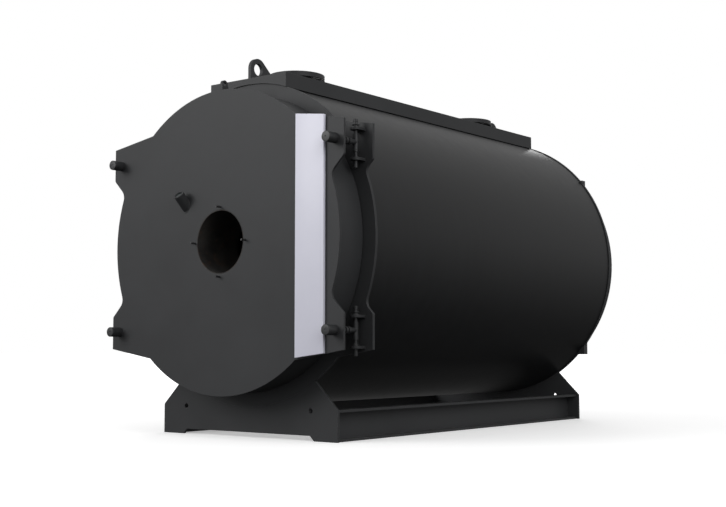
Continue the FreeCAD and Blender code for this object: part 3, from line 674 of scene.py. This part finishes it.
sight_radius = (SIGHT_HIGH.x - SIGHT_LOW.x) / 2
ring_weld("sight_tube_weld", "door",
          ((SIGHT_LOW.x + SIGHT_HIGH.x) / 2, FACE_Y - 0.6 * MM, AXIS_Z + SIGHT_LEVEL),
          sight_radius + 0.2 * MM, 1.6 * MM, stretch=1.40)
ring_weld("flue_weld", "boiler", (0, FLUE_LOW.y, (FLUE_LOW.z + FLUE_HIGH.z) / 2),
          FLUE_HIGH.x + 0.5 * MM, 4 * MM)
ring_weld("smoke_box_weld", "boiler", (0, COVER_LOW.y + 1 * MM, AXIS_Z), COVER_HIGH.x, 4 * MM)


def neck_collar(node):
    """A thin pressed collar that closes the duct's hole round a nozzle's neck."""
    low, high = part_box(node)
    y = (low.y + high.y) / 2
    radius, rise = COLLAR_RINGS[0]
    bpy.ops.mesh.primitive_circle_add(vertices=72, radius=radius * MM, fill_type="NOTHING",
                                      location=(0, y, DUCT_TOP + rise * MM))
    bpy.ops.object.mode_set(mode="EDIT")
    bpy.ops.mesh.select_mode(type="EDGE")
    bpy.ops.mesh.select_all(action="SELECT")
    for next_radius, next_rise in COLLAR_RINGS[1:]:
        drop = (next_rise - rise) * MM
        bpy.ops.mesh.extrude_region_move(TRANSFORM_OT_translate={"value": (0, 0, drop)})
        grow = next_radius / radius
        bpy.ops.transform.resize(value=(grow, grow, 1))
        radius, rise = next_radius, next_rise
    piece = settle(node + "_collar")
    closed(piece)
    modified(piece, "SOLIDIFY", thickness=0.45 * MM, offset=0)
    fitted(piece, "boiler", "black_paint")


neck_collar("flow_nozzle")
neck_collar("return_nozzle")


def lug_welds(node):
    """Beads over and under each lug where it meets the flange."""
    low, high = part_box(node)
    face = high.y - 1.2 * MM
    end = low.x + 2 * LUG_HALF_WIDTH
    beads = []
    for bolt in (AXIS_Z + BOLT_LEVEL, AXIS_Z - BOLT_LEVEL):
        for level in LUG_LEVELS:
            for edge in (-LUG_HALF_THICKNESS, LUG_HALF_THICKNESS):
                z = bolt + level + edge
                beads.append(straight_weld("bead", (low.x, face, z), (end, face, z), 2.2 * MM))
    piece = joined_pieces(beads, node + "_welds")
    fitted(piece, "boiler", "black_paint", WELD)


lug_welds("hinge_lugs")
lug_welds("closing_lugs")


# ---- tube ends on the front tube plate -----------------------------------------------------------
def tube_end_welds():
    """A bead round every smoke tube's end."""
    y = PLATE_LOW.y - 0.4 * MM
    shell = (PLATE_HIGH.x - PLATE_LOW.x) / 2
    furnace = (FURNACE_HIGH.x - FURNACE_LOW.x) / 2
    first = None
    beads = []
    for place, count in TUBE_RINGS:
        pitch = furnace + place * (shell - furnace)
        for i in range(count):
            angle = 2 * math.pi * (i + 0.5) / count
            where = Vector((pitch * math.sin(angle), y, AXIS_Z + pitch * math.cos(angle)))
            if first is None:
                bpy.ops.mesh.primitive_torus_add(major_segments=28, minor_segments=6,
                                                 major_radius=TUBE_END_RADIUS,
                                                 minor_radius=2.4 * MM,
                                                 location=where, rotation=FACING_FRONT)
                first = settle("bead")
                bpy.ops.object.mode_set(mode="EDIT")
                bpy.ops.mesh.select_all(action="SELECT")
                bpy.ops.transform.vertex_random(offset=0.4 * MM, seed=2)
                bpy.ops.object.mode_set(mode="OBJECT")
                start = where
                beads.append(first)
            else:
                beads.append(copied(first, "bead", where - start))
    piece = joined_pieces(beads, "tube_end_welds")
    fitted(piece, "boiler", "fire_side_steel")


tube_end_welds()
mouth = ring_weld("furnace_mouth_weld", "boiler", (0, PLATE_LOW.y, AXIS_Z),
                  FURNACE_HIGH.x + 1 * MM, 4 * MM)
give(mouth, SLOT_FINISH["fire_side_steel"])


# ---- hexagon bolts in the rear cover's clamps ----------------------------------------------------
def clamp_bolts():
    """A washer and a hexagon head on each clamp."""
    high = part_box("cover_clamps")[1]
    made = []
    first = None
    for side in (1, -1):
        for level in CLAMP_BOLT_LEVELS:
            where = Vector((side * (high.x - CLAMP_BOLT_INSET), high.y, AXIS_Z + level))
            if first is None:
                start = where
                bpy.ops.mesh.primitive_cylinder_add(vertices=6, depth=8 * MM,
                                                    radius=CLAMP_BOLT_ACROSS / math.sqrt(3),
                                                    rotation=FACING_FRONT,
                                                    location=where + Vector((0, 6 * MM, 0)))
                head = settle("head")
                pick(head, lambda middle, normal: normal.y > 0.99)
                bpy.ops.mesh.inset(thickness=1.4 * MM)
                bpy.ops.transform.translate(value=(0, 0.8 * MM, 0))
                bpy.ops.object.mode_set(mode="OBJECT")
                modified(head, "BEVEL", width=0.5 * MM, segments=2, limit_method="ANGLE")
                bpy.ops.mesh.primitive_cylinder_add(vertices=40, radius=14 * MM, depth=2 * MM,
                                                    rotation=FACING_FRONT,
                                                    location=where + Vector((0, 1 * MM, 0)))
                washer = settle("washer")
                modified(washer, "BEVEL", width=0.4 * MM, segments=2, limit_method="ANGLE")
                first = joined_pieces([head, washer], "bolt")
                made.append(first)
            else:
                made.append(copied(first, "bolt", where - start))
    piece = joined_pieces(made, "cover_clamp_bolts")
    closed(piece)
    fitted(piece, "boiler", "black_hardware")


clamp_bolts()


# ---- floor, light, camera ------------------------------------------------------------------------
CAMERA_LENS = 60.0595
CAMERA_RIGHT = 3.3581
CAMERA_BEFORE_DOOR = 3.4086
CAMERA_HEIGHT = 0.3649
CAMERA_RISE = 4.345                     # degrees up from level
CAMERA_TURN = 37.808                    # degrees to the left of straight along the boiler
BOILER_MIDDLE = (0, 0, 0.8)


def floor():
    """Plain pale floor with a faint grain; it glows, a painted glow that is dimmer near the boiler
    and brighter away from it.
    """
    bpy.ops.mesh.primitive_plane_add(size=80, location=(0, 0, 0))
    plane = settle("studio_floor")
    finish = Finish("pale_floor")
    grain = finish.noise(3.0, 4.0)
    tone = finish.mix(grain, (0.90, 0.90, 0.90, 1.0), (0.93, 0.93, 0.93, 1.0))
    x, y, _ = finish.axes()
    away = (x * x + y * y).power(0.5).between(2.0, 9.0)
    # painted light: the floor's glow is dimmer near the boiler and brighter away from it
    glow = finish.mix(away, (0.40, 0.40, 0.40, 1.0), (0.95, 0.95, 0.95, 1.0))
    finish.set(Base_Color=tone, Roughness=grain * 0.1 + 0.85, Emission_Color=glow)
    finish.fixed("Specular IOR Level", 0.1)
    finish.fixed("Emission Strength", 1.0)
    give(plane, finish.material)
    plane.visible_diffuse = False
    plane.visible_glossy = False


def camera():
    data = bpy.data.cameras.new("camera")
    data.sensor_width = 36
    data.lens = CAMERA_LENS
    made = bpy.data.objects.new("camera", data)
    bpy.context.scene.collection.objects.link(made)
    made.location = (CAMERA_RIGHT, FACE_Y - CAMERA_BEFORE_DOOR, CAMERA_HEIGHT)
    made.rotation_euler = (math.radians(90 + CAMERA_RISE), 0, math.radians(CAMERA_TURN))
    bpy.context.scene.camera = made


def soft_light(name, place, target, size, power):
    data = bpy.data.lights.new(name, "AREA")
    data.size = size
    data.energy = power
    lamp = bpy.data.objects.new(name, data)
    bpy.context.scene.collection.objects.link(lamp)
    lamp.location = place
    lamp.rotation_euler = (Vector(target) - Vector(place)).to_track_quat("-Z", "Y").to_euler()


def surroundings(overhead, level, below):
    """White to look at; its soft light is strong overhead and weak towards the ground."""
    world = bpy.data.worlds.new("studio")
    world.use_nodes = True
    graph = Graph(world.node_tree)
    # from 0, straight down, to 1, straight up, and how bright it is there
    strengths = ((0.0, below * 0.1), (0.30, below * 0.2), (0.45, below), (0.56, level),
                 (1.0, overhead))
    stops = [(place, (bright, bright, bright, 1)) for place, bright in strengths]
    direction = graph.node("ShaderNodeTexCoord").out("Generated")
    height = graph.node("ShaderNodeSeparateXYZ", None, {0: direction}).out("Z")
    inputs = {"Value": height, "From Min": -1.0, "From Max": 1.0}
    share = graph.node("ShaderNodeMapRange", None, inputs).out("Result")
    tone = graph.node("ShaderNodeValToRGB", {"stops": stops}, {"Fac": share}).out("Color")
    lit = graph.node("ShaderNodeBackground", None, {"Color": tone, "Strength": 1.0}).out()
    white = {"Color": (1, 1, 1, 1), "Strength": 1.0}
    seen = graph.node("ShaderNodeBackground", None, white).out()
    looked_at = graph.node("ShaderNodeLightPath").out("Is Camera Ray")
    mixed = graph.node("ShaderNodeMixShader", None, {0: looked_at, 1: lit, 2: seen}).out()
    graph.feed(graph.tree.nodes["World Output"].inputs["Surface"], mixed)
    bpy.context.scene.world = world


floor()
camera()
soft_light("key", (-4.3, -7.6, 4.3), BOILER_MIDDLE, 4.6, 328)
soft_light("fill", (5.5, -2.5, 3.5), BOILER_MIDDLE, 4.0, 95)
soft_light("back", (-3.5, 6.0, 2.2), (0, 0.5, 0.8), 3.0, 130)
surroundings(0.54, 0.46, 0.27)
bpy.context.scene.view_settings.view_transform = "Standard"
